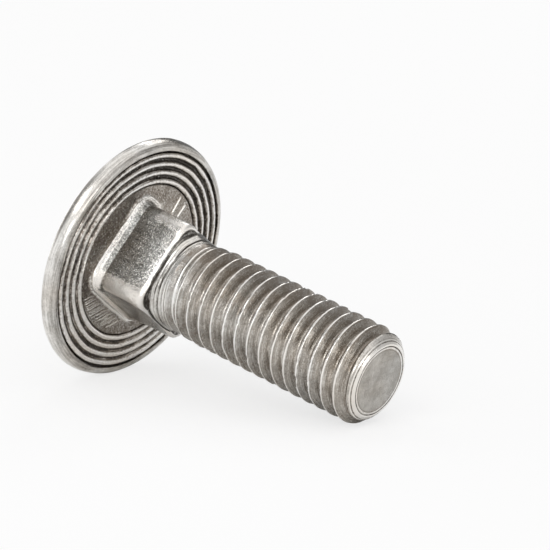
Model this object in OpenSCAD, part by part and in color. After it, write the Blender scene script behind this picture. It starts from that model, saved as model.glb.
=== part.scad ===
// Carriage bolt, M8 x 25, in stainless steel: a low domed head with a ridged
// underside, a square neck with rounded corners, a short plain shoulder and a
// rolled right-hand thread. It is one forged piece. Millimetres.
// The bolt lies at rest on the rim of its head and the end of its thread, on
// the plane Z = 0, with its threaded end towards +X.

/* [Head] */
// Diameter of the head
head_d = 20.3; // [19:0.1:24]
// Height of the head, from the bearing rings to the top of the dome
head_h = 4.5; // [3.5:0.1:6]
// Thickness of the head at its rim, from the bearing rings to the dome's edge
rim_h = 1.1; // [1:0.05:1.6]
// Rounding of the rim's lower edge
rim_round = 0.85; // [0.5:0.05:0.95]
// Width of the rim outside the ringed recess
rim_land = 0.72; // [0.5:0.02:1.2]

/* [Bearing rings] */
// Number of raised rings under the head
ring_count = 4; // [0:1:4]
// Distance from one ring to the next
ring_pitch = 0.73; // [0.6:0.01:0.78]
// Width of one ring
ring_w = 0.46; // [0.3:0.02:0.56]
// Depth of the grooves between the rings
ring_h = 0.3; // [0.25:0.05:0.5]
// Width of the groove between the outermost ring and the rim
ring_gap = 0.2; // [0.1:0.01:0.4]
// Depth of the flat pad inside the rings, below their tops
pad_drop = 0.15; // [0.05:0.05:0.2]

/* [Square neck] */
// Width of the neck across its flats
neck_w = 8; // [7.8:0.1:8.6]
// Length of the neck, from the bearing rings
neck_l = 4.8; // [4:0.1:7]
// Rounding of the neck's four edges
neck_round = 1.4; // [0.6:0.1:2.5]
// Width of the bevel where the neck grows out of the head
foot_w = 0.3; // [0.1:0.05:0.6]
// Height of that bevel
foot_h = 0.8; // [0.2:0.05:1.2]
// Broken edge round the end face of the neck
neck_edge = 0.35; // [0.1:0.05:0.5]
// Turn of the square about the bolt's axis
neck_turn = 8.7; // [-45:0.1:45]

/* [Shank and thread] */
// Length of the bolt under its head
bolt_l = 25; // [16:1:40]
// Diameter of the plain shoulder below the neck
shoulder_d = 7.5; // [7:0.05:7.6]
// Length of the plain shoulder
shoulder_l = 1; // [0.5:0.1:5]
// Diameter of the shoulder where it leaves the end face of the neck
root_d = 8.5; // [8:0.05:8.8]
// Width across the four flats of the shoulder there
root_w = 7.7; // [7.65:0.05:7.9]
// Length over which the thread grows to its full depth
runout_l = 2.5; // [1:0.1:4]
// Outer diameter of the thread
thread_d = 7.9; // [7.8:0.01:8]
// Pitch of the thread
thread_pitch = 1.25; // [1:0.05:1.5]
// Diameter of the flat end face
tip_d = 6; // [4:0.1:6.1]
// Width of the broken edge round the end face
tip_edge = 0.3; // [0.1:0.05:0.5]
// Length of the whole chamfer at the end of the thread
chamfer_l = 0.95; // [0.7:0.05:1.6]

/* [Hidden] */
$fn = 96;

// Steps in one turn of the thread
turn_steps = 36;
// Share of a step by which the helix is turned, so that it rests on a flat
step_turn = 0.5;
// The head becomes 101 flat sides in a mesh: this half side turns one of them
// to the ground, where the bolt then rests without rocking
side_turn = 180 / 101;
// Overlap of solids that join
sink = 1;
// Slope of the broken edge at the tip, as its length over its width
edge_slope = 0.7;
// Distance of the last full crest from the chamfer, where the thread rests
crest_gap = 0.02;

// Radii and places worked out from the driving dimensions
head_r = head_d / 2;
rim_edge_r = head_r - rim_land;
ring_outer_r = rim_edge_r - ring_gap - ring_w / 2;
pad_r = ring_outer_r - (ring_count - 1) * ring_pitch - ring_w / 2 - ring_gap / 2;
crest_r = thread_d / 2;
shoulder_r = shoulder_d / 2;
tip_r = tip_d / 2;
thread_z = neck_l + shoulder_l;
corner_at = neck_w / 2 - neck_round;

// The dome is part of a sphere that meets the rim's top edge
dome_h = head_h - rim_h;
dome_r = (pow(head_r, 2) + pow(dome_h, 2)) / (2 * dome_h);
dome_z = dome_r - head_h;

// One pitch of a metric thread with a rounded root: [along the axis, radius].
// The sharp triangle of its flanks is thread_v high
thread_v = thread_pitch * cos(30);
profile = [
    [0, crest_r],
    [thread_pitch / 8, crest_r],
    [thread_pitch * 7 / 16, crest_r - thread_v * 15 / 24],
    [thread_pitch * 9 / 16, crest_r - thread_v * 17 / 24],
    [thread_pitch * 11 / 16, crest_r - thread_v * 15 / 24]
];

// The rim rests at the lowest point of its rounding, and the thread at the end
// of its last full crest: both touch the ground when the axis dips by rest_dip
rest_z = bolt_l - chamfer_l - crest_gap;
rest_rise = head_r - rim_round - crest_r;
rest_run = rest_z + rim_round;
rest_dip = atan2(rest_rise, rest_run) + asin(rim_round / norm([rest_rise, rest_run]));
rest_lift = crest_r * cos(rest_dip) + rest_z * sin(rest_dip);
x_back = dome_z * cos(rest_dip) - dome_r;
x_front = bolt_l * cos(rest_dip) + tip_r * sin(rest_dip);

// The thread starts inside the neck, whole turns before its last full crest
thread_turns = ceil((rest_z - neck_l) / thread_pitch) + 1;
thread_start = rest_z - thread_pitch / 8 - thread_turns * thread_pitch;

// Share of the full thread depth at a height along the axis
function depth_at(z) = min(1, max(0, (z - thread_z) / runout_l));

// Radius of the surface where the full thread would have radius r
function worn_r(r, z) = shoulder_r + (r - shoulder_r) * depth_at(z);

// Point of the thread at step i of the helix and point j of its profile
function thread_point(i, j) =
    let (turn = (i + step_turn) / turn_steps)
    let (z = thread_start + thread_pitch * turn + profile[j][0])
    let (r = worn_r(profile[j][1], z))
    let (a = 360 * turn)
    [r * cos(a), r * sin(a), z];

// Bar with the helical thread, which runs on past the tip
module threaded_bar() {
    count = len(profile);
    turns = thread_turns + ceil((chamfer_l + sink) / thread_pitch) + 1;
    steps = turns * turn_steps;
    last = steps - turn_steps;
    grid = [for (i = [0 : steps]) for (j = [0 : count - 1]) thread_point(i, j)];
    // The last point of one turn's profile meets the first of the next turn's
    function at(i, j) = j < count ? i * count + j : (i + turn_steps) * count;
    foot = len(grid);
    peak = foot + 1;
    middles = [
        [0, 0, thread_start + thread_pitch / 2],
        [0, 0, thread_start + thread_pitch * (turns - 0.5)]
    ];
    flanks = [
        for (i = [0 : last - 1]) for (j = [0 : count - 1]) each [
            [at(i, j), at(i + 1, j + 1), at(i + 1, j)],
            [at(i, j), at(i, j + 1), at(i + 1, j + 1)]
        ]
    ];
    foot_faces = [
        for (i = [0 : turn_steps - 1]) [foot, at(i, 0), at(i + 1, 0)],
        for (j = [0 : count - 1]) [foot, at(0, j + 1), at(0, j)]
    ];
    peak_faces = [
        for (i = [last : steps - 1]) [peak, at(i + 1, 0), at(i, 0)],
        for (j = [0 : count - 1]) [peak, at(last, j), at(last, j + 1)]
    ];
    polyhedron(points = concat(grid, middles), faces = concat(flanks, foot_faces, peak_faces));
}

// The flat end face, its broken edge and the chamfer, as one turned outline
module shank_envelope() {
    edge_r = tip_r + tip_edge;
    edge_l = tip_edge * edge_slope;
    reach = crest_r + sink;
    slope = (chamfer_l - edge_l) / (crest_r - edge_r);
    rotate_extrude()
        polygon([
            [0, thread_start],
            [reach, thread_start],
            [reach, bolt_l - chamfer_l - sink * slope],
            [edge_r, bolt_l - edge_l],
            [tip_r, bolt_l],
            [0, bolt_l]
        ]);
}

module shank() {
    intersection() {
        threaded_bar();
        shank_envelope();
    }
}

// Outline of the head, with the ringed recess cut into its underside
module head_profile() {
    difference() {
        intersection() {
            translate([0, dome_z])
                circle(r = dome_r, $fn = 360);
            union() {
                translate([0, -head_h])
                    square([head_r - rim_round, head_h]);
                translate([0, -head_h])
                    square([head_r, head_h - rim_round]);
                translate([head_r - rim_round, -rim_round])
                    circle(r = rim_round);
            }
        }
        translate([0, -ring_h])
            square([rim_edge_r, ring_h + sink]);
    }
}

// One ring: a round bead that stands on the floor of the recess
module ring_profile() {
    intersection() {
        translate([-ring_w / 2, -ring_h - ring_w])
            square([ring_w, ring_h + ring_w]);
        union() {
            translate([0, -ring_w / 2])
                circle(r = ring_w / 2, $fn = 48);
            translate([-ring_w / 2, -ring_h - ring_w])
                square([ring_w, ring_h + ring_w / 2]);
        }
    }
}

module head() {
    rotate([0, 0, side_turn])
        rotate_extrude($fn = 180)
            head_profile();
    for (i = [0 : 1 : ring_count - 1])
        rotate_extrude($fn = 180)
            translate([ring_outer_r - i * ring_pitch, 0])
                ring_profile();
    translate([0, 0, -ring_h - sink])
        cylinder(r = pad_r, h = ring_h + sink - pad_drop);
}

// A square bar with round edges, from one height to another. At its lower end
// its sides stand out by spread
module square_bar(width, from, to, spread = 0) {
    half = width / 2;
    edge_r = half - corner_at;
    for (turn = [0, 90])
        rotate([90, 0, turn])
            translate([0, 0, -corner_at])
                linear_extrude(2 * corner_at)
                    polygon([
                        [-half - spread, from],
                        [half + spread, from],
                        [half, to],
                        [-half, to]
                    ]);
    for (x = [-1, 1])
        for (y = [-1, 1])
            translate([x * corner_at, y * corner_at, from])
                cylinder(r1 = edge_r + spread, r2 = edge_r, h = to - from);
}

// The shoulder leaves the neck as a cone with four flats and becomes round.
// It runs on into the shank by overlap, so that their surfaces cross
module shoulder_root() {
    root_r = root_d / 2;
    slope = (root_r - shoulder_r) / shoulder_l;
    overlap = 0.2;
    last = thread_z + overlap / slope;
    intersection() {
        rotate_extrude()
            polygon([
                [0, 0],
                [root_r, 0],
                [root_r, neck_l],
                [shoulder_r - overlap, last],
                [0, last]
            ]);
        translate([-root_w / 2, -root_w / 2, 0])
            cube([root_w, root_w, last]);
    }
}

module neck() {
    rotate([0, 0, 45 + neck_turn])
        union() {
            square_bar(neck_w, -ring_h - sink, neck_l - neck_edge);
            square_bar(neck_w, -pad_drop, foot_h - pad_drop, foot_w);
            square_bar(neck_w - 2 * neck_edge, neck_l - neck_edge, neck_l, neck_edge);
            shoulder_root();
        }
}

// Lays the bolt, drawn upright with its tip up, on its rim and its thread
module lie_down() {
    translate([-(x_back + x_front) / 2, 0, rest_lift])
        rotate([0, 90 + rest_dip, 0])
            children();
}

module bolt() {
    color([0.66, 0.65, 0.63])
        lie_down()
            union() {
                head();
                neck();
                shank();
            }
}

bolt();
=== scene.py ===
import math

import bpy
import numpy as np
from mathutils import Matrix, Vector, noise


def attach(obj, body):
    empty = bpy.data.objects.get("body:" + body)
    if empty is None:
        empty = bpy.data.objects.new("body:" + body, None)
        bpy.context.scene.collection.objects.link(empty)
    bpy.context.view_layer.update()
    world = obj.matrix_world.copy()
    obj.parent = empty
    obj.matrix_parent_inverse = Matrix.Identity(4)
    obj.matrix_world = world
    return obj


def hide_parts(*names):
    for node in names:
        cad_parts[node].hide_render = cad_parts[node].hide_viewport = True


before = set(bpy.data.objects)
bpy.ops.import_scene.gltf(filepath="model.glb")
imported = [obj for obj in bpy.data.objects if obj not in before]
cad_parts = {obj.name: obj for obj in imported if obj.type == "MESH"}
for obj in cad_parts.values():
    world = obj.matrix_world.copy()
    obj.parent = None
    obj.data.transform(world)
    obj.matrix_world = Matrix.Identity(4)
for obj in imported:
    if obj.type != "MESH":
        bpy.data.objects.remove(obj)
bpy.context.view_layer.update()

MM = 0.001
TAU = 2 * math.pi
QUARTER = TAU / 4

# Driving dimensions of the bolt, in millimetres, as in the part's source
HEAD_R = 10.15
HEAD_H = 4.5
RIM_H = 1.1
RIM_ROUND = 0.85
RIM_EDGE_R = 9.43
RINGS = (9.0, 8.27, 7.54, 6.81)
RING_PITCH = 0.73
RING_HALF = 0.23
RING_H = 0.3
PAD_R = 6.48
PAD_DROP = 0.15
NECK_HALF = 4.0
NECK_L = 4.8
FOOT_W = 0.3
FOOT_H = 0.8
NECK_EDGE = 0.35
NECK_TURN = math.radians(45 + 8.7)
BOLT_L = 25.0
SHOULDER_R = 3.75
SHOULDER_L = 1.0
ROOT_R = 4.25
ROOT_HALF = 3.85
RUNOUT_L = 2.5
CREST_R = 3.95
PITCH = 1.25
TIP_R = 3.0
TIP_EDGE = 0.3
EDGE_L = 0.21
CHAMFER_L = 0.95
CREST_GAP = 0.02

# Rounding of the neck's edges at its foot, and how much it grows towards the thread
NECK_ROUND = 1.15
ROUND_GROWTH = 0.2

# How the bolt lies: the dip of its axis and the place of its head's underside
REST_Z = BOLT_L - CHAMFER_L - CREST_GAP
RISE = HEAD_R - RIM_ROUND - CREST_R
RUN = REST_Z + RIM_ROUND
DIP = math.atan2(RISE, RUN) + math.asin(RIM_ROUND / math.hypot(RISE, RUN))
LIFT = CREST_R * math.cos(DIP) + REST_Z * math.sin(DIP)
DOME_H = HEAD_H - RIM_H
DOME_R = (HEAD_R ** 2 + DOME_H ** 2) / (2 * DOME_H)
DOME_Z = DOME_R - HEAD_H
X_BACK = DOME_Z * math.cos(DIP) - DOME_R
X_FRONT = BOLT_L * math.cos(DIP) + TIP_R * math.sin(DIP)
X_SHIFT = -(X_BACK + X_FRONT) / 2
TO_ROW = (Matrix.Translation((X_SHIFT, 0, LIFT))
          @ Matrix.Rotation(math.pi / 2 + DIP, 4, "Y"))

# The skin is built upright, tip up. Its points stand in columns round the axis
COLUMNS = 240
ANGLES = np.arange(COLUMNS) * TAU / COLUMNS

# Directions round the bolt: as it lies, 0 points down, half a turn up, and three
# quarters of a turn towards the camera's side
LOWER_FLAT = math.radians(323.7)
TOP_EDGE = math.radians(188.7)
PALER_RINGS_SIDE = math.radians(-12)
PAD_SHADE_SIDE = math.radians(242)
SHOULDER_DARK_SIDE = math.radians(185)
# Sides of the thread with a painted highlight and with painted shade
THREAD_HIGHLIGHT_SIDE = math.radians(258)
THREAD_SHADE_SIDE = math.radians(150)
FOLD_AT, FOLD_W = math.radians(287.6), math.radians(2.0)
NICK_AT, NICK_W = math.radians(283.5), math.radians(4)

# Half the width of a full crest, in pitches, and the height of its middle at angle 0
CREST_HALF = 1 / 16
CREST_Z = REST_Z - PITCH * CREST_HALF

# Heights between which the loops follow the helix, and the gap that their rows keep
THREAD_Z = NECK_L + SHOULDER_L
THREAD_START = THREAD_Z + 0.05
THREAD_END = BOLT_L - CHAMFER_L + 0.28
ROW_GAP = 0.02

# Shape of half a pitch of thread: distance from the crest's middle in pitches, and depth
HALF_PITCH = (
    (0.0, 0.0),
    (0.043, 0.001),
    (0.058, 0.008),
    (0.072, 0.03),
    (0.335, 0.5886),
    (0.385, 0.690),
    (0.44, 0.7465),
    (0.5, 0.7668),
)

# Rows of one turn: place in pitches from the crest, wear and painted shade there, how much
# of that a painted highlight takes off on one side, and share of the second line of the first
# turns. The flank on the tip's side is dull right from the crest, the other one is bright near
# it
THREAD_ROWS = (
    (0.0, 0.0, 0, 0),
    (0.043, 0.0, 0, 0),
    (0.058, 0.03, 0, 0),
    (0.072, 0.64, 0, 0),
    (0.335, 0.66, 0, 0),
    (0.385, 0.7, 0, 0),
    (0.44, 0.74, 0, 0.4),
    (0.5, 0.74, 0, 1.0),
    (0.56, 0.7, 0, 0.9),
    (0.615, 0.62, 0.16, 0),
    (0.665, 0.54, 0.16, 0),
    (0.88, 0.22, 0.3, 0),
    (0.928, 0.0, 0, 0),
    (0.957, 0.0, 0, 0),
)

# Rows of the skin that are given one by one, in millimetres. Bearing ring: distance
# from the middle of its bead
BEAD_ROWS = (0.235, 0.215, 0.175, 0.1, 0.0, -0.1, -0.175, -0.215, -0.235)
# Squeezed bead round the foot: share of its height, distance from the foot, and how strongly a
# painted highlight lightens it
SQUEEZED_ROWS = (
    (0.25, 0.36, 2),
    (0.75, 0.29, 6),
    (1.0, 0.22, 7),
    (1.0, 0.14, 7),
    (0.88, 0.08, 7),
)
# End face of the neck: share of the way from its edge to the shoulder, and drop
NECK_END_ROWS = ((0.12, 0.01), (0.35, 0.04), (0.7, 0.07), (1.0, 0.06))
# Shoulder: share of the way from the neck to the thread
SHOULDER_ROWS = (0.03, 0.08, 0.14, 0.2, 0.27, 0.35, 0.43, 0.52, 0.61, 0.7, 0.8, 0.9)
# Chamfer: height, and wear with bands of painted highlight and painted shade
CHAMFER_ROWS = (
    (24.42, 0.5), (24.51, 0.42), (24.6, 0.36), (24.66, 0.45), (24.7, 0.6), (24.735, 0.2),
    (24.76, 0), (24.79, 0.05), (24.82, 0.7), (24.85, 0.75), (24.88, 0.1), (24.93, 0),
    (24.97, 0.05),
)
# Lip round the end face: radius, height, and wear with bands of painted highlight and painted
# shade
LIP_ROWS = (
    (3.035, 24.985, 0.1), (3.0, 24.997, 0), (2.95, 25.0, 0), (2.9, 24.995, 0.1),
    (2.86, 24.98, 0.9), (2.82, 24.97, 0.95), (2.79, 24.98, 0.6), (2.74, 24.985, 0.15),
    (2.69, 24.985, 0.15), (2.62, 24.98, 0.5),
)
# End face: radius. The face lies at FACE_Z and is dished inside DISH_R
FACE_ROWS = (2.5, 2.2, 1.8, 1.4, 1.0, 0.6, 0.3)
FACE_Z = 24.98
LIP_R = 2.7
DISH_R = 2.6
DISH_DEPTH = 0.06


def smooth_step(x):
    x = np.clip(x, 0, 1)
    return x * x * (3 - 2 * x)


def rise(x, start, width):
    """0 up to start, and from there smoothly up to 1 over a width."""
    return smooth_step((x - start) / width)


def fall(x, start, width):
    """1 up to start, and from there smoothly down to 0 over a width."""
    return 1 - rise(x, start, width)


def hump(x, middle, width):
    """1 at a middle, and down to 0 on both sides of it."""
    return np.exp(-((x - middle) / width) ** 2)


def facing(direction):
    """How far each column faces a direction: 1 where it does, -1 opposite."""
    return np.cos(ANGLES - direction)


def rough(x, y, z, scale, seed):
    """Smooth noise from about -1 to 1, the same on each run."""
    return noise.noise(Vector((x * scale + seed, y * scale - seed, z * scale + 2 * seed)))


def soft_min(a, b, k):
    """Smaller of two values, blended over a width k where they cross."""
    h = np.clip(0.5 + 0.5 * (b - a) / k, 0, 1)
    return b + (a - b) * h - k * h * (1 - h)


def crest_phase(z, angle):
    """Turns of thread from the crest whose end rests on the ground."""
    return (z - CREST_Z) / PITCH - angle / TAU


def thread_radius(z, angle):
    """Radius of the thread, with its run-out, its chamfer and the tip's broken edge."""
    turns = crest_phase(z, angle)
    depth = np.interp(np.abs(turns - np.round(turns)), *zip(*HALF_PITCH))
    grown = np.clip((z - THREAD_Z) / RUNOUT_L, 0, 1)
    r = SHOULDER_R + (CREST_R - depth - SHOULDER_R) * grown
    slope = (CHAMFER_L - EDGE_L) / (CREST_R - TIP_R - TIP_EDGE)
    cone = TIP_R + TIP_EDGE + (BOLT_L - EDGE_L - z) / slope
    tip = TIP_R + (BOLT_L - z) * TIP_EDGE / EDGE_L
    blend = 0.05
    return soft_min(soft_min(r, cone, blend), tip, blend)


def square_radius(half, rounding):
    """Distance from the axis to the outline of the square, with its corners rounded."""
    a = (ANGLES - NECK_TURN) % QUARTER
    a = np.minimum(a, QUARTER - a)
    flat = half / np.cos(a)
    c = half - rounding
    b = np.abs(a - TAU / 8)
    arc = c * math.sqrt(2) * np.cos(b) + np.sqrt(
        np.maximum(rounding ** 2 - (c * math.sqrt(2) * np.sin(b)) ** 2, 0))
    on_flat = half * np.tan(a) < c
    return np.where(on_flat, flat, arc)


FOOT_R = square_radius(NECK_HALF + FOOT_W, NECK_ROUND + FOOT_W)


class Skin:
    """Closed surface made of loops round the axis, from one pole to the other."""

    def __init__(self):
        self.points, self.faces, self.zones, self.depths = [], [], [], []
        self.last = None

    def point(self, x, y, z, depth):
        self.points.append((x, y, z))
        self.depths.append(depth)
        return len(self.points) - 1

    def face(self, zone, *corners):
        self.faces.append(corners)
        self.zones.append(zone)

    def add(self, r, z, depth):
        """Points of one loop, whose values are numbers or one for each column."""
        rows = (np.broadcast_to(np.asarray(v, float), COLUMNS) for v in (r, z, depth))
        return [self.point(rr * math.cos(a), rr * math.sin(a), zz, dd)
                for a, rr, zz, dd in zip(ANGLES, *rows)]

    def loop(self, r, z, zone, depth=0.0):
        """Loop whose faces join it to the last one."""
        ring = self.add(r, z, depth)
        if self.last is not None:
            for i in range(COLUMNS):
                j = (i + 1) % COLUMNS
                self.face(zone, self.last[i], self.last[j], ring[j], ring[i])
        self.last = ring

    def fan(self, pole, zone, below):
        """Triangles that join the last loop to a pole below or above it."""
        for i in range(COLUMNS):
            a, b = self.last[i], self.last[(i + 1) % COLUMNS]
            self.face(zone, *((pole, b, a) if below else (a, b, pole)))


def rounded(path, steps):
    """Points along a path of (r, z, rounding, cuts), with its corners rounded.

    cuts is the number of extra points on the stretch that leads to the corner."""
    corners = [np.stack([np.broadcast_to(np.asarray(v, float), COLUMNS) for v in row[:2]])
               for row in path]
    out = [corners[0]]
    for k in range(1, len(path)):
        corner, rounding, cuts = corners[k], path[k][2], path[k][3]
        arc = [corner]
        if k < len(path) - 1:
            back, ahead = corners[k - 1] - corner, corners[k + 1] - corner
            lb, la = np.hypot(*back), np.hypot(*ahead)
            back, ahead = back / np.maximum(lb, 1e-9), ahead / np.maximum(la, 1e-9)
            reach = np.minimum(rounding, 0.42 * np.minimum(lb, la))
            start, end = corner + back * reach, corner + ahead * reach
            arc = [(1 - s) ** 2 * start + 2 * s * (1 - s) * corner + s * s * end
                   for s in np.linspace(0, 1, steps + 1)]
        cut_from = out[-1]
        for c in range(1, cuts + 1):
            out.append(cut_from + (arc[0] - cut_from) * c / (cuts + 1))
        out += arc
    return out


def dome_point(t):
    """Radius and height of the dome at an angle from its pole."""
    return DOME_R * math.sin(t), DOME_Z - DOME_R * math.cos(t)


def add_dome_and_rim(skin):
    rows = 22
    widest = math.asin(HEAD_R / DOME_R)
    pole = skin.point(0, 0, -HEAD_H, 0)
    for k in range(1, rows):
        skin.loop(*dome_point(widest * (k / rows) ** 0.92), "dome")
        if k == 1:
            skin.fan(pole, "dome", below=True)

    # Trimmed band
    band = [
        (*dome_point(widest * 0.985), 0, 0),
        (HEAD_R, -RIM_H, 0.16, 0),
        (HEAD_R, -RIM_ROUND * 0.98, 0.03, 1),
    ]
    for r, z in rounded(band, 3)[1:]:
        skin.loop(r, z, "rim")

    # Rounded lower edge: past the point that the bolt rests on, the edge is tighter and
    # the land flatter than an arc
    steps, rest, fuller = 12, 0.28, 0.075
    turn_end = math.acos((RIM_EDGE_R - (HEAD_R - RIM_ROUND)) / RIM_ROUND)
    for k in range(1, steps + 1):
        a = turn_end * k / steps
        past = max(0, (a - rest) / (turn_end - rest))
        rho = RIM_ROUND * (1 + fuller * math.sin(math.pi * past) ** 2)
        r, z = HEAD_R - RIM_ROUND + rho * math.cos(a), -RIM_ROUND + rho * math.sin(a)
        skin.loop(r, z, "rim", rise(k, 2, 6) * (0.8 if k < steps else 1.0))


def bead(d):
    """Height of a bearing ring at a distance from its middle, with its top flattened."""
    top = math.sqrt(max(RING_HALF ** 2 * 1.06 - d * d, 0)) / 1.03
    return max(-RING_HALF + top, -RING_H)


def add_rings(skin):
    # Step from the rim into the recess
    wall = [
        (RIM_EDGE_R + 0.01, -0.012, 0, 0),
        (RIM_EDGE_R - 0.02, -0.02, 0.03, 0),
        (RIM_EDGE_R - 0.06, -RING_H, 0.08, 0),
        (RINGS[0] + RING_HALF + 0.05, -RING_H, 0, 0),
    ]
    for r, z in rounded(wall, 2)[1:]:
        skin.loop(r, z, "rings", np.clip(-z / RING_H, 0, 1))

    # Bearing rings, each a bead between two valleys
    # The valleys are painted darker the deeper they lie, stain and painted shade together, and
    # less dark towards one side
    left = 1 - 0.72 * smooth_step(facing(PALER_RINGS_SIDE) * 1.3)
    for n, ring in enumerate(RINGS):
        for d in BEAD_ROWS:
            z = bead(d)
            skin.loop(ring + d, z, "rings", min(1, -z / RING_H) * left)
        if n < len(RINGS) - 1:
            skin.loop((ring + RINGS[n + 1]) / 2, -RING_H - 0.01, "rings", 1.0)


def squeezed_height():
    """Height of the metal that the die squeezed up round the foot of the neck."""
    lower = 0.19 * rise(facing(LOWER_FLAT), 0.5, 0.25)
    # The lower bead fades out before the bottom corner
    past = (ANGLES - LOWER_FLAT + math.pi) % TAU - math.pi
    lower *= fall(past, math.radians(29), math.radians(13))
    return lower + 0.14 * rise(facing(TOP_EDGE), 0.82, 0.12)


def add_pad(skin):
    # Painted shade darkens the pad on the side where it mirrors the neck
    darker_side = 0.6 * rise(facing(PAD_SHADE_SIDE), 0.3, 0.5)
    path = [
        (RINGS[-1] - RING_HALF - 0.02, -RING_H, 0, 0),
        (PAD_R + 0.02, -RING_H, 0.03, 0),
        (PAD_R, -PAD_DROP, 0.05, 0),
        (FOOT_R + 0.46, -PAD_DROP, 0, 5),
    ]
    for r, z in rounded(path, 3)[1:]:
        if np.mean(z) < -0.2:
            skin.loop(r, z, "rings", 1.0)
        else:
            skin.loop(r, z, "pad", darker_side)

    squeezed = squeezed_height()
    # The bead is lightened along its top by a painted highlight
    for share, out, bead_highlight in SQUEEZED_ROWS:
        wear_and_shading = np.clip(darker_side - squeezed * bead_highlight, -1.2, 1.3)
        skin.loop(FOOT_R + out, -PAD_DROP + squeezed * share, "pad", wear_and_shading)


def add_neck(skin):
    """Square neck: its bevelled foot, its sides and its end, up to the shoulder."""
    flat_end, flat_fade = 33, math.radians(3)
    turned = (ANGLES - NECK_TURN) % QUARTER
    turned = np.minimum(turned, QUARTER - turned)
    on_flats = fall(turned, math.radians(flat_end), flat_fade)
    dull = rise(0.5 + 0.5 * facing(TOP_EDGE), 0.6, 0.3)
    # Folded edge beside the front corner, drawn as a dark line of painted shade in its slit,
    # and the dark nick where it starts, also painted shade
    fold_shade = hump(ANGLES, FOLD_AT, FOLD_W)
    nick_shade = 0.9 * hump(ANGLES, NICK_AT, NICK_W)

    # Bevelled foot, up to the height where the sides start
    top = FOOT_H - PAD_DROP
    start = top + 0.25
    side = square_radius(NECK_HALF, NECK_ROUND)
    lowest = -PAD_DROP + 0.8 * squeezed_height()
    path = [
        (FOOT_R + 0.06, lowest, 0, 0),
        (FOOT_R, lowest, 0.05, 0),
        (side, top, 0.1, 3),
        (side, start, 0, 0),
    ]
    # Lighter towards the lower flat: a painted highlight on the foot's bevel
    foot_wear_and_highlight = 0.25 - 0.23 * smooth_step(facing(LOWER_FLAT))
    for r, z in rounded(path, 3)[1:]:
        height = rise(z, 0.2, 0.2)
        dark = 0.35 * height * np.maximum(on_flats, dull)
        dark = dark + nick_shade * hump(z, 0.66, 0.13) + fold_shade * height
        skin.loop(r, z, "neck", np.clip(foot_wear_and_highlight + dark, 0, 1))

    # Sides: each flat swells a little in its middle and falls in towards its end
    bars = 20
    bar_end = NECK_L - NECK_EDGE
    level = fall(turned, math.radians(21), math.radians(20))
    lower = rise(facing(LOWER_FLAT), 0.7, 0.2)
    for k in range(1, bars + 1):
        t = k / bars
        z = start + (bar_end - start) * t
        swell = 0.03 * math.sin(math.pi * t) - 0.10 * max(0, (t - 0.35) / 0.65) ** 2
        around = square_radius(NECK_HALF, NECK_ROUND + ROUND_GROWTH * t) + swell * level
        # The dark skin of the flats ends along a ragged line, and over the top edge it
        # ends early
        ragged = math.radians(flat_end + 3.5 * rough(0, 0, z, 3.7, 30))
        on_flats = fall(turned, ragged, flat_fade)
        covered = np.maximum(on_flats, dull * fall(t, 0.1, 0.35))
        wear_and_shading = 0.04 + 0.46 * covered * (1 - 0.44 * rise(t, 0.58, 0.36))
        wear_and_shading = wear_and_shading + 0.1 * on_flats * lower
        wear_and_shading = wear_and_shading + fold_shade * fall(t, 0.6, 0.35) * (1.0 + 0.4 * rough(0, 0, z, 2.1, 31))
        skin.loop(around, z, "neck", wear_and_shading)

    # Broken edge of the end, and the end face
    steps = 6
    for k in range(1, steps + 1):
        a = k / steps * math.pi / 2
        inset = around - NECK_EDGE * (1 - math.cos(a))
        skin.loop(inset, bar_end + NECK_EDGE * math.sin(a), "neck", 0.12)
    root = root_radius()
    outer = np.maximum(inset, root + 0.06)
    # The end face is painted dark, painted shade in the groove before the shoulder, a little
    # lighter towards the top
    for share, drop in NECK_END_ROWS:
        skin.loop(root * share + outer * (1 - share), NECK_L - drop, "neck", 1.0 - 0.35 * dull)


def root_radius():
    """Outline of the shoulder where it leaves the neck: round, with four flats."""
    return soft_min(square_radius(ROOT_HALF, 0.02), ROOT_R, 0.45) + 0.02


def add_shoulder(skin):
    """Shoulder, which turns from four flats to round, with fine ridges and a dark line."""
    root = root_radius()
    ridges, line_at, line_w = 31, 0.7, 0.05
    # Darker towards the top
    darker_side = 0.14 * facing(SHOULDER_DARK_SIDE)
    for t in SHOULDER_ROWS:
        line = hump(t, line_at, line_w)
        around = root + (SHOULDER_R - root) * t ** 0.85 + 0.014 * math.sin(t * ridges)
        around = around - 0.05 * fall(t, 0.08, 0.16) - 0.04 * line
        # Painted shade darkens the shoulder next to the neck, in the groove there
        wear_and_shading = fall(t, 0.1, 0.16) + 0.1 + 0.85 * line + 0.22 * math.sin(t * ridges + 0.6)
        z = NECK_L + t * SHOULDER_L
        skin.loop(around, z, "shoulder", np.clip(wear_and_shading + darker_side, 0, 1))
    skin.loop(SHOULDER_R, THREAD_START, "shoulder", 0.1)


def thread_wear_and_shading(x, y, z, angle, row, early):
    """Wear, painted highlight and painted shade of the thread at a point of one of its rows.
    """
    place, deep, highlight_share, second = row
    # The side that lies uppermost is darker, with painted shade, and the side towards the
    # camera lighter, with a painted highlight
    painted_highlight = max(0.0, math.cos(angle - THREAD_HIGHLIGHT_SIDE)) ** 8
    deep -= highlight_share * painted_highlight
    uppermost = math.cos(angle - THREAD_SHADE_SIDE)
    painted_shade = (0.2 * uppermost - 0.38 * painted_highlight) * min(1, 2 * deep)
    # The rolled crest shows its seam here and there
    seam = 0.0 if place else 0.09 * smooth_step(2.2 * rough(x, y, z, 0.33, 20))
    return np.clip(deep - 0.95 * second * early + painted_shade + seam, 0, 1)


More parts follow.
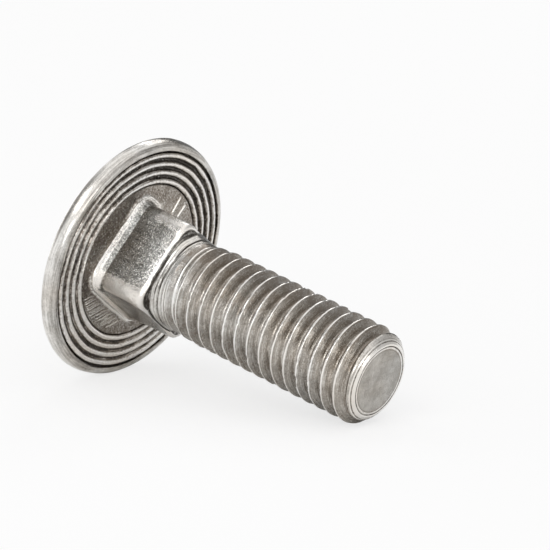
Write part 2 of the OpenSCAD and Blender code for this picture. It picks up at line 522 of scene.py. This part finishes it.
def thread_column(skin, angle, rows):
    """Points of the thread in one column, by row. Rows go on counting from turn to turn."""
    made = {}
    for m in rows:
        row = THREAD_ROWS[m % len(THREAD_ROWS)]
        z = CREST_Z + PITCH * (m // len(THREAD_ROWS) + row[0] + angle / TAU)
        if THREAD_START + ROW_GAP < z < THREAD_END - ROW_GAP:
            # The first turns are not rolled to their full height and show a second line
            early = fall(z - THREAD_Z, 1.1, 0.9)
            r = thread_radius(z, angle) + 0.1 * row[3] * early
            x, y = r * math.cos(angle), r * math.sin(angle)
            made[m] = skin.point(x, y, z, thread_wear_and_shading(x, y, z, angle, row, early))
    return made


def add_thread(skin):
    """Thread: rows that follow the helix, cut off at the shoulder and near the tip."""
    count = len(THREAD_ROWS)
    turns = math.ceil((THREAD_END - THREAD_START) / PITCH) + 2
    first = math.floor(crest_phase(THREAD_START, TAU)) - 1
    rows = range(first * count, (first + turns + 2) * count)
    index = [thread_column(skin, a, rows) for a in ANGLES]
    below = skin.last
    above = skin.add(thread_radius(THREAD_END, ANGLES), THREAD_END, 0.9)
    for i in range(COLUMNS):
        j = (i + 1) % COLUMNS
        # Past the last column the helix is one turn further on
        shift = 0 if j else count
        here = index[i]
        there = {m + shift: v for m, v in index[j].items()}
        common = sorted(set(here) & set(there))
        low, high = common[0], common[-1]
        for m in range(low, high):
            skin.face("thread", here[m], there[m], there[m + 1], here[m + 1])
        skin.face("thread", below[i], below[j],
                  *(there[m] for m in sorted(there) if m <= low),
                  *(here[m] for m in sorted(here, reverse=True) if m <= low))
        skin.face("thread", above[j], above[i],
                  *(here[m] for m in sorted(here, reverse=True) if m >= high),
                  *(there[m] for m in sorted(there) if m >= high))
    skin.last = above


def add_tip(skin):
    # Bands of painted highlight and painted shade on the chamfer and the lip
    for z, wear_and_shading in CHAMFER_ROWS:
        skin.loop(thread_radius(z, ANGLES), z, "lip", wear_and_shading)
    for r, z, wear_and_shading in LIP_ROWS:
        skin.loop(r, z, "lip", wear_and_shading)
    for r in FACE_ROWS:
        skin.loop(r, FACE_Z, "tip")
    skin.fan(skin.point(0, 0, FACE_Z, 0), "tip", below=False)


def forged(x, y, z):
    """Point in millimetres, moved by the irregularities of a forged and rolled part."""
    r = math.hypot(x, y)
    if r < 0.001:
        return x, y, z
    ux, uy = x / r, y / r
    dr = dz = 0.0
    if z > BOLT_L - 0.1:
        # End face, dished inside its uneven lip
        if r > LIP_R:
            dr = 0.02 * rough(x, y, 0, 0.8, 23)
        if r < DISH_R:
            dz = -DISH_DEPTH * (1 - (r / DISH_R) ** 2) + 0.008 * rough(x, y, 0, 1.3, 4)
    elif z > THREAD_Z + 0.6:
        # Thread: ragged crests, with flakes gone here and there
        top = rise(r, 3.45, 0.4)
        dr = top * (0.018 * rough(x, y, z, 0.9, 1) + 0.01 * rough(x, y, z, 2.9, 2))
        flaked = smooth_step((rough(x, y, z, 0.45, 21) - 0.02) * 3)
        dr -= top * flaked * 0.15 * max(0.0, rough(x, y, z, 2.8, 22))
        dz = 0.012 * rough(x, y, z, 1.1, 3)
    elif z > NECK_L + 0.02:
        # Shoulder
        dr = 0.02 * rough(x, y, z * 0.6, 1.4, 5)
    elif z > 0.1:
        # Neck, whose end isn't quite flat
        inside = rise(z, 0.2, 0.6)
        dr = inside * (0.03 * rough(x, y, z, 0.75, 6) + 0.016 * rough(x, y, z * 0.5, 2.6, 7))
        dz = 0.03 * rough(x, y, 0, 1.1, 8) if z > 4.2 else 0.0
    elif r < 6.3 and z > -0.2:
        # Pad, and the squeezed bead that stands on it
        dz = 0.014 * rough(x, y, 0, 0.8, 9)
        if z > -0.14:
            dr = 0.03 * rough(x, y, 0, 1.3, 10)
    elif r < RIM_EDGE_R and z > -0.4:
        # Bearing rings, each with its own irregularities
        lane = round((RINGS[0] - r) / RING_PITCH)
        dr = 0.03 * rough(ux * 5, uy * 5, lane * 3.0, 1.0, 11)
        dz = 0.03 * rough(ux * 11, uy * 11, lane * 5.0, 1.0, 12)
    elif z > -1.35:
        # Rim
        dr = 0.022 * rough(ux * 4, uy * 4, z * 0.4, 1.0, 13) + 0.008 * rough(x, y, z, 1.7, 14)
    else:
        # Dome
        dz = 0.008 * rough(x, y, 0, 0.35, 15)
    return x + ux * dr, y + uy * dr, z + dz


# Tool marks on the pad, in millimetres: two die lines and a patch of hatching, whose
# lines leave the foot of the neck and end near the pad's edge
DIE_LINES = (((-4.98, 3.92), (-3.42, 3.02)), ((-4.16, 4.68), (-3.0, 3.78)))
HATCH_COUNT = 19
HATCH_FROM, HATCH_SPAN = -66, 56
HATCH_LEAN = math.radians(105)
HATCH_FOOT = 4.72
HATCH_EDGE = 6.38


def add_ridge(skin, start, end, width, height):
    """Low ridge that a tool left on the pad, from one (x, y) to another."""
    axis = np.array(end) - np.array(start)
    across = np.array((-axis[1], axis[0])) / np.linalg.norm(axis)
    cuts, sides, sink = 14, 7, 0.02
    first = len(skin.points)
    for i in range(cuts + 1):
        t = i / cuts
        swell = math.sqrt(max(0.0, 1 - (2 * t - 1) ** 6))
        for k in range(sides):
            a = math.pi * k / (sides - 1)
            half = math.cos(a) * width / 2 * max(swell, 0.1)
            x, y = np.array(start) + axis * t + across * half
            z = -PAD_DROP - sink + (height + sink) * math.sin(a) * swell
            skin.point(x, y, z, 0.0)
    for i in range(cuts):
        for k in range(sides - 1):
            p = first + i * sides + k
            skin.face("marks", p, p + sides, p + sides + 1, p + 1)


def add_marks(skin):
    for start, end in DIE_LINES:
        add_ridge(skin, start, end, width=0.2, height=0.11)
    dx, dy = -math.cos(HATCH_LEAN), -math.sin(HATCH_LEAN)
    for k in range(HATCH_COUNT):
        a = math.radians(HATCH_FROM + HATCH_SPAN * k / (HATCH_COUNT - 1))
        near = HATCH_FOOT / math.cos(a - LOWER_FLAT) + 0.1 * math.sin(k * 2.3)
        x, y = near * math.cos(a), near * math.sin(a)
        reach = 1.7 + 0.25 * math.sin(k * 1.7)
        while math.hypot(x + dx * reach, y + dy * reach) > HATCH_EDGE:
            reach -= 0.02
        if reach > 0.3:
            end = (x + dx * reach, y + dy * reach)
            add_ridge(skin, (x, y), end, width=0.1 + 0.03 * math.sin(k * 4.1), height=0.06)


def lay_of(x, y, z):
    """Place in the pattern of forging and rolling marks, along which they run."""
    r = math.hypot(x, y)
    if -PAD_DROP - 0.1 < z < NECK_L - 0.02 and r < 6.4:
        # Pad and neck: marks along the axis
        return x * 4, y * 4, z * 0.7
    ux, uy = (x / r, y / r) if r > 0.001 else (0, 0)
    if z > THREAD_Z:
        # Thread, shoulder, rim and rings: marks that run round
        return ux * 1.6, uy * 1.6, r * 9 + z * 0.4
    if z > 0:
        return ux * 1.6, uy * 1.6, z * 8
    if z < -RIM_H - 0.1:
        # Dome: no direction
        return x * 0.4, y * 0.4, 0
    return ux * 3, uy * 3, (r - z) * 6


def add_attribute(mesh, name, kind, values):
    key = "vector" if kind == "FLOAT_VECTOR" else "value"
    data = mesh.attributes.new(name, kind, "POINT").data
    data.foreach_set(key, np.array(values, dtype=np.float32).ravel())


def make_bolt():
    skin = Skin()
    for part in (add_dome_and_rim, add_rings, add_pad, add_neck, add_shoulder, add_thread,
                 add_tip):
        part(skin)
    skin.points = [forged(*p) for p in skin.points]
    add_marks(skin)
    mesh = bpy.data.meshes.new("bolt_skin")
    mesh.from_pydata(skin.points, [], skin.faces)
    add_attribute(mesh, "place", "FLOAT_VECTOR", skin.points)
    add_attribute(mesh, "depth", "FLOAT", skin.depths)
    add_attribute(mesh, "lay", "FLOAT_VECTOR", [lay_of(*p) for p in skin.points])
    mesh.transform(TO_ROW)
    mesh.transform(Matrix.Scale(MM, 4))
    mesh.validate()
    obj = bpy.data.objects.new("bolt_skin", mesh)
    bpy.context.scene.collection.objects.link(obj)
    for name, look in LOOKS.items():
        mesh.materials.append(steel(name, **look))
    names = list(LOOKS)
    zones = np.array([names.index(z) for z in skin.zones], dtype=np.int32)
    mesh.polygons.foreach_set("material_index", zones)
    mesh.shade_smooth()
    mesh.update()
    return obj


# Stainless steel, from worn bright metal with painted highlights to the stain and painted
# shade in the deepest places
CREST = (0.95, 0.94, 0.92)
GLINT = (0.89, 0.875, 0.85)
BRIGHT = (0.86, 0.85, 0.825)
PALE = (0.62, 0.605, 0.58)
FLANK = (0.52, 0.495, 0.46)
LOW = (0.41, 0.385, 0.355)
GREY = (0.36, 0.345, 0.32)
IRON = (0.46, 0.46, 0.44)
SLATE = (0.33, 0.33, 0.318)
SMOKE = (0.2, 0.195, 0.185)
BROWN = (0.25, 0.22, 0.19)
STAIN_AND_SHADE = (0.10, 0.085, 0.072)
DARK = (0.04, 0.034, 0.028)
# Tint that the metal is multiplied by in its warm patches
WARM = (0.97, 0.93, 0.885)

# Look of each zone. stops: colours by wear and painted shade. start and depth: that value at
# depth 0, and how much the depth adds to it as stain and painted shade. edge: depths between
# which the bright worn edge, with its painted highlight, ends.
# mottle: shares of coarse, medium and streaked noise in the wear. roughness: of the
# least and the most worn metal. bump: heights of medium, fine and streaked relief.
# specks: share of bright specks
NO_EDGE = (-2, -1)
LOOKS = {
    "dome": dict(
        stops=((0, BRIGHT), (0.4, PALE), (1, GREY)),
        depth=0.5, start=0.32, edge=NO_EDGE, mottle=(0.12, 0.06, 0.2),
        roughness=(0.12, 0.26), bump=(0.15, 0.08, 0.3), specks=0.05),
    "rim": dict(
        stops=((0, BRIGHT), (0.35, PALE), (0.7, GREY), (1, STAIN_AND_SHADE)),
        depth=0.32, start=0.18, edge=NO_EDGE, mottle=(0.4, 0.35, 0.9),
        roughness=(0.14, 0.3), bump=(0.5, 0.3, 1.6), specks=0.2),
    "rings": dict(
        stops=((0, PALE), (0.28, FLANK), (0.48, BROWN), (0.66, STAIN_AND_SHADE), (0.86, DARK)),
        depth=0.95, start=0.2, edge=(0.0, 0.13), mottle=(0.6, 0.6, 0.8),
        roughness=(0.14, 0.36), bump=(1.2, 0.6, 1.0), specks=0.3),
    "pad": dict(
        stops=((0, BRIGHT), (0.12, PALE), (0.35, GREY), (0.6, BROWN), (1, STAIN_AND_SHADE)),
        depth=0.7, start=0.53, edge=NO_EDGE, mottle=(0.5, 1.0, 0.4),
        roughness=(0.2, 0.38), bump=(1.0, 0.6, 0.6), specks=0.4),
    "marks": dict(
        stops=((0, BRIGHT), (0.6, PALE), (1, GREY)),
        depth=0.5, start=0.0, edge=NO_EDGE, mottle=(0.2, 0.4, 0.2),
        roughness=(0.22, 0.36), bump=(0.8, 0.6, 0.4), specks=0.1),
    "neck": dict(
        stops=((0, PALE), (0.32, IRON), (0.55, SLATE), (0.76, SMOKE), (0.92, DARK)),
        depth=0.95, start=0.0, edge=(0.22, 0.34), mottle=(0.3, 1.0, 0.5),
        roughness=(0.14, 0.28), bump=(1.8, 0.7, 1.4), specks=0.7),
    "shoulder": dict(
        stops=((0, BRIGHT), (0.35, PALE), (0.7, GREY), (0.95, DARK), (1, DARK)),
        depth=0.85, start=0.22, edge=NO_EDGE, mottle=(0.4, 0.4, 1.4),
        roughness=(0.14, 0.28), bump=(0.5, 0.3, 3.4), specks=0.15),
    "thread": dict(
        stops=((0, PALE), (0.36, PALE), (0.52, LOW), (0.68, GREY), (0.88, BROWN)),
        depth=0.7, start=0.35, edge=(0.09, 0.14), mottle=(0.4, 0.4, 0.7),
        roughness=(0.16, 0.3), bump=(0.8, 0.5, 2.2), specks=0.35),
    "lip": dict(
        stops=((0, BRIGHT), (0.4, PALE), (0.6, GREY), (0.85, STAIN_AND_SHADE), (1, DARK)),
        depth=0.9, start=0.03, edge=(0.1, 0.25), mottle=(0.3, 0.4, 0.3),
        roughness=(0.14, 0.3), bump=(0.6, 0.3, 0.8), specks=0.1),
    "tip": dict(
        stops=((0, BRIGHT), (0.3, PALE), (0.6, GREY), (1, BROWN)),
        depth=0.9, start=0.55, edge=NO_EDGE, mottle=(0.35, 0.12, 0.05),
        roughness=(0.2, 0.32), bump=(0.3, 0.2, 0.1), specks=0.1),
}

# Height of the relief for a bump value of 1
RELIEF = 0.012 * MM
# Scratches and specks: stretch of the scratches' noise, turn and scale of both their
# directions, and the noise above which scratches and specks show
SCRATCH_STRETCH = (0.45, 14, 1.2)
SCRATCHES = ((0.7, 3.0), (-1.1, 3.6))
SCRATCH_FROM = 0.69
SPECKS_FROM = 0.57


class Graph:
    """Short names for the nodes that the materials are made of."""

    def __init__(self, tree):
        self.tree = tree

    def node(self, kind, **values):
        n = self.tree.nodes.new("ShaderNode" + kind)
        for key, value in values.items():
            setattr(n, key, value)
        return n

    def link(self, source, target):
        self.tree.links.new(source, target)

    def feed(self, target, value):
        """Link an output to an input, or give the input a number or a colour."""
        if isinstance(value, bpy.types.NodeSocket):
            self.link(value, target)
        elif isinstance(value, tuple):
            target.default_value = (*value, 1)
        else:
            target.default_value = value

    def attribute(self, name, output):
        return self.node("Attribute", attribute_name=name).outputs[output]

    def math(self, operation, *values):
        n = self.node("Math", operation=operation)
        for slot, value in zip(n.inputs, values):
            self.feed(slot, value)
        return n.outputs[0]

    def over(self, value, limit):
        """What a value has over a limit, and 0 below it."""
        return self.math("MAXIMUM", self.math("SUBTRACT", value, limit), 0.0)

    def noise(self, vector, scale, detail, roughness=0.6):
        n = self.node("TexNoise")
        n.inputs["Scale"].default_value = scale
        n.inputs["Detail"].default_value = detail
        n.inputs["Roughness"].default_value = roughness
        self.link(vector, n.inputs["Vector"])
        return n.outputs["Fac"]

    def stretched(self, vector, scale, turn):
        n = self.node("Mapping")
        n.inputs["Scale"].default_value = scale
        n.inputs["Rotation"].default_value = (0, 0, turn)
        self.link(vector, n.inputs["Vector"])
        return n.outputs[0]

    def remap(self, value, source, target, kind="LINEAR"):
        """Value moved from one range to another, and kept inside that one."""
        n = self.node("MapRange", interpolation_type=kind)
        self.link(value, n.inputs["Value"])
        for name, bound in zip(("From Min", "From Max", "To Min", "To Max"), source + target):
            n.inputs[name].default_value = bound
        return n.outputs["Result"]

    def mix(self, share, first, second, blend="MIX"):
        n = self.node("MixRGB", blend_type=blend)
        for name, value in zip(("Fac", "Color1", "Color2"), (share, first, second)):
            self.feed(n.inputs[name], value)
        return n.outputs["Color"]

    def ramp(self, value, stops):
        n = self.node("ValToRGB")
        self.link(value, n.inputs["Fac"])
        elements = n.color_ramp.elements
        while len(elements) < len(stops):
            elements.new(0.5)
        for element, (at, colour) in zip(elements, stops):
            element.position = at
            element.color = (*colour, 1)
        return n.outputs["Color"]


def steel(name, stops, depth, start, edge, mottle, roughness, bump, specks):
    """Material of one zone, from its values in LOOKS."""
    mat = bpy.data.materials.new("steel_" + name)
    mat.use_nodes = True
    g = Graph(mat.node_tree)
    shader = mat.node_tree.nodes["Principled BSDF"]
    shader.inputs["Metallic"].default_value = 1.0

    place = g.attribute("place", "Vector")
    deep = g.attribute("depth", "Fac")
    coarse = g.noise(place, scale=0.9, detail=4)
    medium = g.noise(place, scale=6.5, detail=3)
    fine = g.noise(place, scale=24, detail=3)
    streak = g.noise(g.attribute("lay", "Vector"), scale=1.0, detail=4)

    # The depth darkens the metal: stain and painted shade in the hollows
    wear_and_shading = g.math("MULTIPLY_ADD", deep, depth, start)
    for source, share in zip((coarse, medium, streak), mottle):
        wear_and_shading = g.math("MULTIPLY_ADD", g.math("SUBTRACT", source, 0.5), 2 * share, wear_and_shading)
    colour = g.ramp(wear_and_shading, stops)

    # Worn edge with a painted highlight, whose border the medium noise makes uneven
    uneven = (edge[1] - edge[0]) * 2.6
    border = g.math("MULTIPLY_ADD", g.math("SUBTRACT", medium, 0.5), uneven, deep)
    worn_and_highlit = g.remap(border, edge, (1.0, 0.0), "SMOOTHSTEP")
    colour = g.mix(worn_and_highlit, colour, g.mix(coarse, CREST, GLINT))

    # Sparse scratches and specks, brighter than the metal round them
    marks = None
    for turn, scale in SCRATCHES:
        lines = g.noise(g.stretched(place, SCRATCH_STRETCH, turn), scale, 1, roughness=0.4)
        lines = g.math("MULTIPLY", g.over(lines, SCRATCH_FROM), 6.0)
        marks = lines if marks is None else g.math("MAXIMUM", marks, lines)
    peaks = g.over(g.noise(place, scale=9.0, detail=2, roughness=0.5), SPECKS_FROM)
    marks = g.math("MULTIPLY_ADD", peaks, 9.0 * specks, marks)
    colour = g.mix(g.math("MINIMUM", marks, 0.8), colour, BRIGHT)

    # Warm tint in broad patches
    warm = g.remap(g.noise(place, scale=0.2, detail=2), (0.35, 0.65), (0.0, 1.0))
    colour = g.mix(warm, colour, WARM, blend="MULTIPLY")
    g.link(colour, shader.inputs["Base Color"])

    dullness = g.math("MULTIPLY_ADD", fine, 0.5, wear_and_shading)
    g.link(g.remap(dullness, (0.2, 1.2), roughness), shader.inputs["Roughness"])

    height = g.math("MULTIPLY", medium, bump[0])
    for source, share in ((fine, bump[1] * 0.35), (streak, bump[2]), (marks, 0.5)):
        height = g.math("MULTIPLY_ADD", source, share, height)
    relief = g.node("Bump")
    relief.inputs["Strength"].default_value = 1.0
    relief.inputs["Distance"].default_value = RELIEF
    g.link(height, relief.inputs["Height"])
    g.link(relief.outputs["Normal"], shader.inputs["Normal"])
    return mat


bolt = make_bolt()
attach(bolt, "root")
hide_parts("bolt")

scene = bpy.context.scene
scene.view_settings.view_transform = "Standard"

# Floor, and the share of plain white in what the camera sees of it
FLOOR_HALF = 0.9
FLOOR_WHITE = 0.7


def make_floor():
    """White where the camera sees it in full light, with the bolt's shadow."""
    half = FLOOR_HALF
    corners = [(-half, -half, 0), (half, -half, 0), (half, half, 0), (-half, half, 0)]
    mesh = bpy.data.meshes.new("floor")
    mesh.from_pydata(corners, [], [(0, 1, 2, 3)])
    obj = bpy.data.objects.new("floor", mesh)
    scene.collection.objects.link(obj)
    mat = bpy.data.materials.new("floor")
    mat.use_nodes = True
    g = Graph(mat.node_tree)
    paper = mat.node_tree.nodes["Principled BSDF"]
    paper.inputs["Base Color"].default_value = (0.98, 0.98, 0.98, 1)
    paper.inputs["Roughness"].default_value = 0.9
    paper.inputs["Specular IOR Level"].default_value = 0.0
    white = g.node("Emission")
    white.inputs["Strength"].default_value = 1.0
    seen = g.node("LightPath").outputs["Is Camera Ray"]
    blend = g.node("MixShader")
    g.link(g.math("MULTIPLY", seen, FLOOR_WHITE), blend.inputs["Fac"])
    g.link(paper.outputs[0], blend.inputs[1])
    g.link(white.outputs[0], blend.inputs[2])
    g.link(blend.outputs[0], mat.node_tree.nodes["Material Output"].inputs["Surface"])
    mesh.materials.append(mat)
    return obj


floor = make_floor()

# Dark sides of the room: direction, half width of the middle and of the whole spread in
# degrees, and strength in the middle
DARK_SIDES = (
    ((-0.44, -0.50, 0.73), 14, 38, 0.3),
    ((0.60, 0.78, 0.16), 18, 50, 0.5),
    ((-0.46, 0.78, 0.42), 12, 42, 0.12),
)


def make_room():
    """World: white to the camera, and to the metal a white studio with dark sides."""
    world = bpy.data.worlds.new("room")
    world.use_nodes = True
    g = Graph(world.node_tree)
    background = world.node_tree.nodes["Background"]
    background.inputs["Color"].default_value = (1, 1, 1, 1)
    ray = g.node("TexCoord").outputs["Generated"]
    dimmed = None
    for direction, inner, outer, strength in DARK_SIDES:
        aimed = g.node("VectorMath", operation="DOT_PRODUCT")
        g.link(ray, aimed.inputs[0])
        aimed.inputs[1].default_value = Vector(direction).normalized()
        spread = (math.cos(math.radians(outer)), math.cos(math.radians(inner)))
        shade = g.remap(aimed.outputs["Value"], spread, (1.0, strength), "SMOOTHSTEP")
        dimmed = shade if dimmed is None else g.math("MULTIPLY", dimmed, shade)
    seen = g.node("LightPath").outputs["Is Camera Ray"]
    g.link(g.math("MAXIMUM", dimmed, seen), background.inputs["Strength"])
    return world


scene.world = make_room()

# Soft lights round the bolt: name, place and size in metres, and watts
LIGHTS = (
    ("key", (0.0, -0.27, 0.34), (0.16, 0.16), 0.225),
    ("left", (-0.42, -0.10, 0.12), (0.06, 0.20), 0.07),
    ("back", (-0.14, 0.30, 0.30), (0.20, 0.14), 0.17),
    ("front", (0.34, -0.04, 0.05), (0.16, 0.05), 0.06),
    ("fill", (0.27, -0.35, 0.10), (0.16, 0.10), 0.27),
)
LIGHT_AIM = Vector((0, 0, 0.01))


def aim(obj, direction):
    """Turn a light or a camera to look in a direction."""
    obj.rotation_mode = "QUATERNION"
    obj.rotation_quaternion = direction.to_track_quat("-Z", "Y")


for name, place, size, watts in LIGHTS:
    data = bpy.data.lights.new(name, "AREA")
    data.shape = "RECTANGLE"
    data.size, data.size_y = size
    data.energy = watts
    light = bpy.data.objects.new(name, data)
    scene.collection.objects.link(light)
    light.location = place
    light.visible_camera = False
    aim(light, LIGHT_AIM - Vector(place))

# Camera at the photograph's angle. Lengths in millimetres, and the scale of the picture
# at the camera's target in pixels for each millimetre
CAM_AZIMUTH, CAM_ELEVATION = math.radians(39.03), math.radians(12.55)
CAM_TARGET = Vector((3.97, 0, 10.43))
CAM_DISTANCE = 225
CAM_SCALE = 12.87
SENSOR_W = 36
PICTURE_W = 550
cam_data = bpy.data.cameras.new("camera")
cam_data.sensor_width = SENSOR_W
cam_data.lens = CAM_SCALE * CAM_DISTANCE * SENSOR_W / PICTURE_W
cam_data.clip_start, cam_data.clip_end = 0.005, 5
camera = bpy.data.objects.new("camera", cam_data)
scene.collection.objects.link(camera)
back = Vector((math.sin(CAM_AZIMUTH) * math.cos(CAM_ELEVATION),
               -math.cos(CAM_AZIMUTH) * math.cos(CAM_ELEVATION), math.sin(CAM_ELEVATION)))
camera.location = CAM_TARGET * MM + back * (CAM_DISTANCE * MM)
aim(camera, -back)
scene.camera = camera
